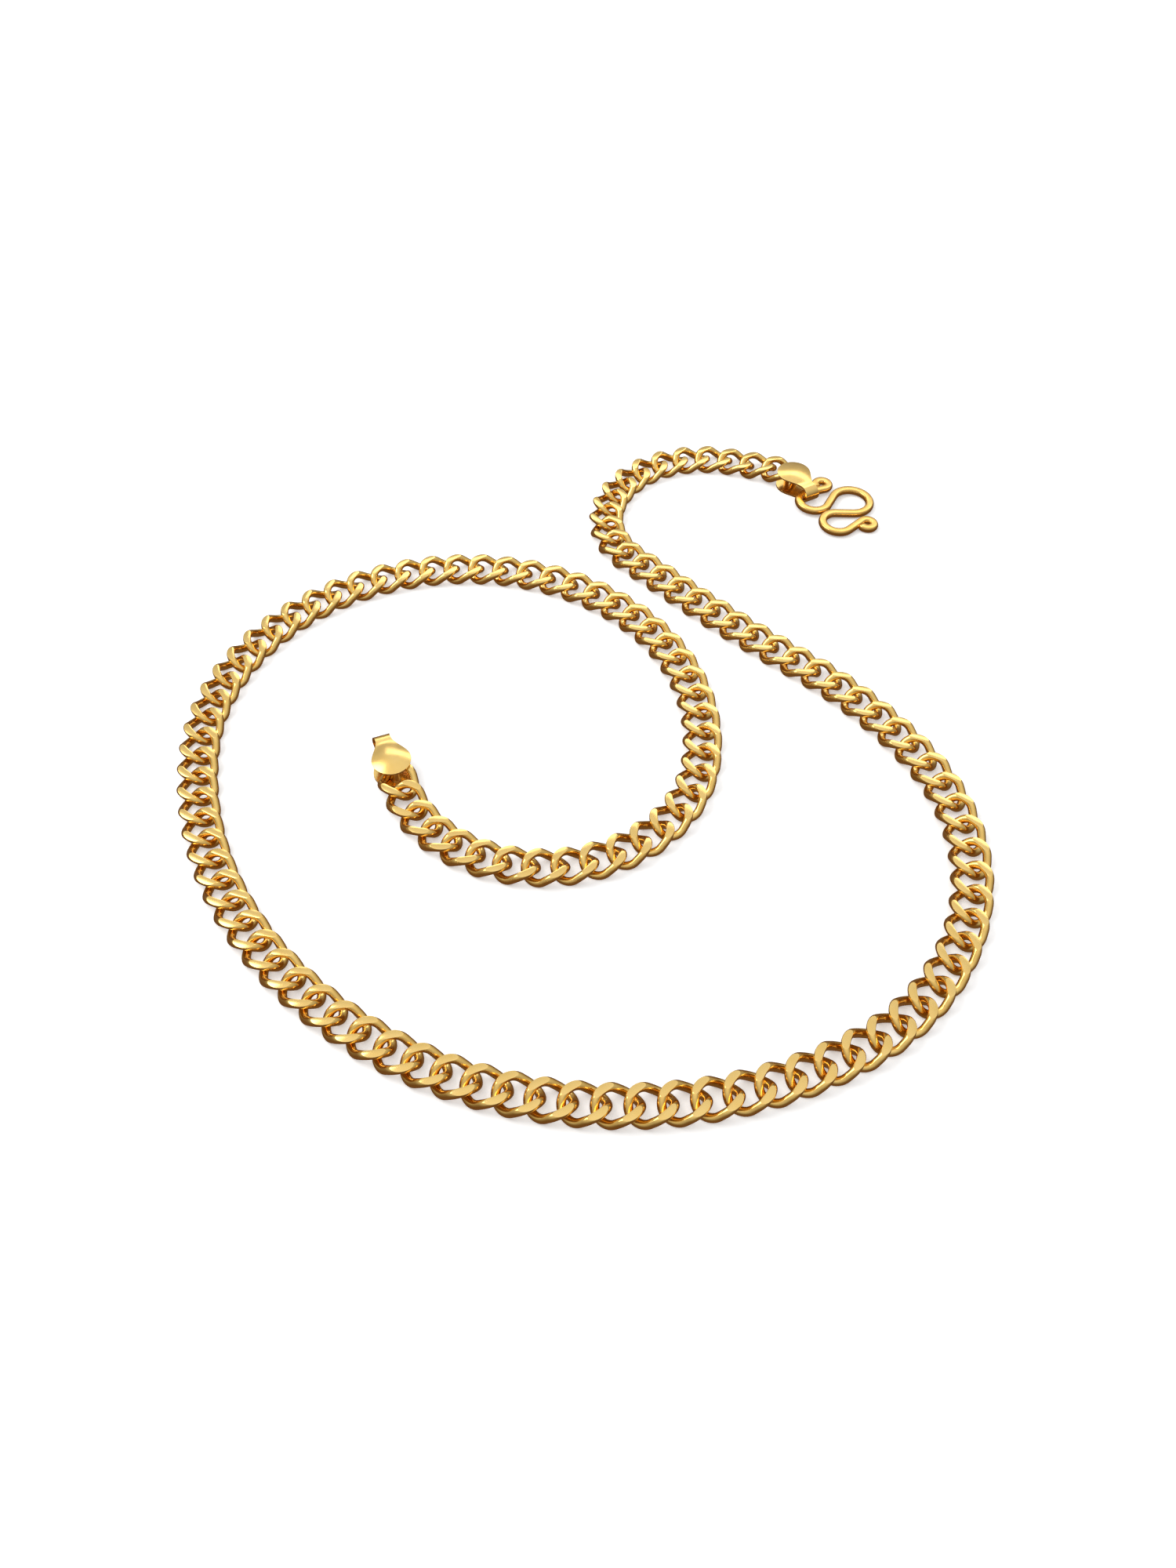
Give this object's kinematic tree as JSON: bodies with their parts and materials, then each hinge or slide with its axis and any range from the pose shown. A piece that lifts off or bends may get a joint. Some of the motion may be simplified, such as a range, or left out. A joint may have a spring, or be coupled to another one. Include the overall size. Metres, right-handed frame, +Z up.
{
  "type": "chain necklace",
  "caption": "Gold curb chain necklace lying in an open spiral, with folded end caps and a bent wire hook that closes through the free cap's fold.",
  "frame": {"origin": "centre of the lying necklace's box, on the surface that it lies on", "axes": "+Z up off the table, +X to the right and +Y away from a viewer who has the hook at the upper right"},
  "size_m": [0.1201, 0.1401, 0.0031],
  "materials": {
    "link_gold": "polished yellow gold wire, ground flat and bright on both faces",
    "cap_gold": "polished yellow gold sheet, slightly domed, with a satin edge",
    "hook_gold": "yellow gold wire with ground faces, soft polish",
    "solder_gold": "soldered yellow gold post, unpolished"
  },
  "bodies": {
    "free_cap": {"free_cap": "cap_gold", "free_cap_post": "solder_gold"},
    "hook_cap": {"hook_cap": "cap_gold", "hook_cap_post": "solder_gold"},
    "hook": {"hook": "hook_gold"},
    "run_01": {"links_01": "link_gold"},
    "run_02": {"links_02": "link_gold"},
    "run_03": {"links_03": "link_gold"},
    "run_04": {"links_04": "link_gold"},
    "run_05": {"links_05": "link_gold"},
    "run_06": {"links_06": "link_gold"},
    "run_07": {"links_07": "link_gold"},
    "run_08": {"links_08": "link_gold"},
    "run_09": {"links_09": "link_gold"},
    "run_10": {"links_10": "link_gold"},
    "run_11": {"links_11": "link_gold"},
    "run_12": {"links_12": "link_gold"},
    "run_13": {"links_13": "link_gold"},
    "run_14": {"links_14": "link_gold"},
    "run_15": {"links_15": "link_gold"},
    "run_16": {"links_16": "link_gold"},
    "run_17": {"links_17": "link_gold"},
    "run_18": {"links_18": "link_gold"},
    "run_19": {"links_19": "link_gold"},
    "run_20": {"links_20": "link_gold"},
    "run_21": {"links_21": "link_gold"},
    "run_22": {"links_22": "link_gold"},
    "run_23": {"links_23": "link_gold"},
    "run_24": {"links_24": "link_gold"},
    "run_25": {"links_25": "link_gold"},
    "run_26": {"links_26": "link_gold"},
    "run_27": {"links_27": "link_gold"},
    "run_28": {"links_28": "link_gold"},
    "run_29": {"links_29": "link_gold"},
    "run_30": {"links_30": "link_gold"},
    "run_31": {"links_31": "link_gold"},
    "run_32": {"links_32": "link_gold"},
    "run_33": {"links_33": "link_gold"},
    "run_34": {"links_34": "link_gold"},
    "run_35": {"links_35": "link_gold"},
    "run_36": {"links_36": "link_gold"},
    "run_37": {"links_37": "link_gold"},
    "run_38": {"links_38": "link_gold"},
    "run_39": {"links_39": "link_gold"},
    "run_40": {"links_40": "link_gold"}
  },
  "joints": [
    {"name": "free_cap_swivel", "type": "hinge", "parent": "run_01", "child": "free_cap", "pos_m": [-0.02669, -0.01184, 0.00153], "axis": [0, 0, 1], "range_deg": [-20, 25]},
    {"name": "side_01_02", "type": "hinge", "parent": "run_02", "child": "run_01", "pos_m": [-0.02088, -0.0223, 0.00111], "axis": [0, 0, -1], "range_deg": [-12, 12]},
    {"name": "side_02_03", "type": "hinge", "parent": "run_03", "child": "run_02", "pos_m": [-0.01011, -0.02857, 0.00111], "axis": [0, 0, -1], "range_deg": [-12, 12]},
    {"name": "side_03_04", "type": "hinge", "parent": "run_04", "child": "run_03", "pos_m": [0.00235, -0.02836, 0.00111], "axis": [0, 0, 1], "range_deg": [-12, 12]},
    {"name": "side_04_05", "type": "hinge", "parent": "run_05", "child": "run_04", "pos_m": [0.01299, -0.02186, 0.00111], "axis": [0, 0, 1], "range_deg": [-12, 12]},
    {"name": "side_05_06", "type": "hinge", "parent": "run_06", "child": "run_05", "pos_m": [0.01896, -0.01091, 0.00111], "axis": [0, 0, -1], "range_deg": [-12, 12]},
    {"name": "fold_06_07", "type": "hinge", "parent": "run_07", "child": "run_06", "pos_m": [0.01953, 0.00163, 0.00111], "axis": [0.9938, 0.1115, 0], "range_deg": [-30, 30]},
    {"name": "fold_07_08", "type": "hinge", "parent": "run_08", "child": "run_07", "pos_m": [0.01618, 0.01373, 0.00111], "axis": [-0.9074, -0.4202, 0], "range_deg": [-30, 30]},
    {"name": "fold_08_09", "type": "hinge", "parent": "run_09", "child": "run_08", "pos_m": [0.00911, 0.0241, 0.00111], "axis": [-0.7224, -0.6915, 0], "range_deg": [-30, 30]},
    {"name": "fold_09_10", "type": "hinge", "parent": "run_10", "child": "run_09", "pos_m": [-0.00094, 0.03161, 0.00111], "axis": [0.4594, 0.8882, 0], "range_deg": [-30, 30]},
    {"name": "fold_10_11", "type": "hinge", "parent": "run_11", "child": "run_10", "pos_m": [-0.01288, 0.03547, 0.00111], "axis": [0.1469, 0.9891, 0], "range_deg": [-30, 30]},
    {"name": "fold_11_12", "type": "hinge", "parent": "run_12", "child": "run_11", "pos_m": [-0.02543, 0.03526, 0.00111], "axis": [0.1788, -0.9839, 0], "range_deg": [-30, 30]},
    {"name": "fold_12_13", "type": "hinge", "parent": "run_13", "child": "run_12", "pos_m": [-0.03726, 0.03105, 0.00111], "axis": [0.4833, -0.8755, 0], "range_deg": [-30, 30]},
    {"name": "fold_13_14", "type": "hinge", "parent": "run_14", "child": "run_13", "pos_m": [-0.04712, 0.02329, 0.00111], "axis": [-0.7373, 0.6756, 0], "range_deg": [-30, 30]},
    {"name": "fold_14_15", "type": "hinge", "parent": "run_15", "child": "run_14", "pos_m": [-0.05399, 0.01278, 0.00111], "axis": [-0.9143, 0.4051, 0], "range_deg": [-30, 30]},
    {"name": "fold_15_16", "type": "hinge", "parent": "run_16", "child": "run_15", "pos_m": [-0.05715, 0.00064, 0.00111], "axis": [0.9957, -0.0924, 0], "range_deg": [-30, 30]},
    {"name": "fold_16_17", "type": "hinge", "parent": "run_17", "child": "run_16", "pos_m": [-0.05647, -0.01191, 0.00111], "axis": [0.9866, 0.1633, 0], "range_deg": [-30, 30]},
    {"name": "fold_17_18", "type": "hinge", "parent": "run_18", "child": "run_17", "pos_m": [-0.05325, -0.02408, 0.00111], "axis": [-0.9385, -0.3453, 0], "range_deg": [-30, 30]},
    {"name": "fold_18_19", "type": "hinge", "parent": "run_19", "child": "run_18", "pos_m": [-0.04782, -0.03542, 0.00111], "axis": [-0.8572, -0.515, 0], "range_deg": [-30, 30]},
    {"name": "fold_19_20", "type": "hinge", "parent": "run_20", "child": "run_19", "pos_m": [-0.04035, -0.04555, 0.00111], "axis": [0.7455, 0.6665, 0], "range_deg": [-30, 30]},
    {"name": "fold_20_21", "type": "hinge", "parent": "run_21", "child": "run_20", "pos_m": [-0.03112, -0.0541, 0.00111], "axis": [0.6074, 0.7944, 0], "range_deg": [-30, 30]},
    {"name": "fold_21_22", "type": "hinge", "parent": "run_21", "child": "run_22", "pos_m": [-0.02043, -0.06075, 0.00111], "axis": [0.4407, 0.8976, 0], "range_deg": [-30, 30]},
    {"name": "fold_22_23", "type": "hinge", "parent": "run_22", "child": "run_23", "pos_m": [-0.00864, -0.06512, 0.00111], "axis": [0.2495, 0.9684, 0], "range_deg": [-30, 30]},
    {"name": "fold_23_24", "type": "hinge", "parent": "run_23", "child": "run_24", "pos_m": [0.0038, -0.067, 0.00111], "axis": [-0.048, -0.9988, 0], "range_deg": [-30, 30]},
    {"name": "fold_24_25", "type": "hinge", "parent": "run_24", "child": "run_25", "pos_m": [0.01637, -0.06632, 0.00111], "axis": [0.1556, -0.9878, 0], "range_deg": [-30, 30]},
    {"name": "fold_25_26", "type": "hinge", "parent": "run_25", "child": "run_26", "pos_m": [0.02853, -0.0631, 0.00111], "axis": [-0.3527, 0.9358, 0], "range_deg": [-30, 30]},
    {"name": "fold_26_27", "type": "hinge", "parent": "run_26", "child": "run_27", "pos_m": [0.03979, -0.05749, 0.00111], "axis": [-0.5527, 0.8334, 0], "range_deg": [-30, 30]},
    {"name": "fold_27_28", "type": "hinge", "parent": "run_27", "child": "run_28", "pos_m": [0.04897, -0.04893, 0.00111], "axis": [0.7928, -0.6095, 0], "range_deg": [-30, 30]},
    {"name": "fold_28_29", "type": "hinge", "parent": "run_28", "child": "run_29", "pos_m": [0.05488, -0.03786, 0.00111], "axis": [0.9475, -0.3198, 0], "range_deg": [-30, 30]},
    {"name": "fold_29_30", "type": "hinge", "parent": "run_29", "child": "run_30", "pos_m": [0.05688, -0.02547, 0.00111], "axis": [-1, -0.0044, 0], "range_deg": [-30, 30]},
    {"name": "fold_30_31", "type": "hinge", "parent": "run_30", "child": "run_31", "pos_m": [0.05477, -0.0131, 0.00111], "axis": [-0.9447, -0.328, 0], "range_deg": [-30, 30]},
    {"name": "fold_31_32", "type": "hinge", "parent": "run_31", "child": "run_32", "pos_m": [0.04894, -0.00197, 0.00111], "axis": [0.832, 0.5548, 0], "range_deg": [-30, 30]},
    {"name": "fold_32_33", "type": "hinge", "parent": "run_32", "child": "run_33", "pos_m": [0.04105, 0.00784, 0.00111], "axis": [0.7206, 0.6934, 0], "range_deg": [-30, 30]},
    {"name": "fold_33_34", "type": "hinge", "parent": "run_33", "child": "run_34", "pos_m": [0.03176, 0.01634, 0.00111], "axis": [-0.6737, -0.739, 0], "range_deg": [-30, 30]},
    {"name": "fold_34_35", "type": "hinge", "parent": "run_34", "child": "run_35", "pos_m": [0.02265, 0.02504, 0.00111], "axis": [-0.7077, -0.7065, 0], "range_deg": [-30, 30]},
    {"name": "side_35_36", "type": "hinge", "parent": "run_35", "child": "run_36", "pos_m": [0.01391, 0.03412, 0.00111], "axis": [0, 0, 1], "range_deg": [-12, 12]},
    {"name": "side_36_37", "type": "hinge", "parent": "run_36", "child": "run_37", "pos_m": [0.00616, 0.04392, 0.00111], "axis": [0, 0, 1], "range_deg": [-12, 12]},
    {"name": "side_37_38", "type": "hinge", "parent": "run_37", "child": "run_38", "pos_m": [0.00679, 0.05624, 0.00111], "axis": [0, 0, -1], "range_deg": [-12, 12]},
    {"name": "side_38_39", "type": "hinge", "parent": "run_38", "child": "run_39", "pos_m": [0.0153, 0.06523, 0.00111], "axis": [0, 0, -1], "range_deg": [-12, 12]},
    {"name": "side_39_40", "type": "hinge", "parent": "run_39", "child": "run_40", "pos_m": [0.02758, 0.06674, 0.00111], "axis": [0, 0, 1], "range_deg": [-12, 12]},
    {"name": "hook_cap_swivel", "type": "hinge", "parent": "run_40", "child": "hook_cap", "pos_m": [0.03879, 0.06226, 0.00153], "axis": [0, 0, 1], "range_deg": [-10, 25]},
    {"name": "hook_swivel", "type": "hinge", "parent": "hook_cap", "child": "hook", "pos_m": [0.04289, 0.05474, 0.00097], "axis": [0.0338, -0.0081, 0.9994], "range_deg": [-90, 34]}
  ]
}
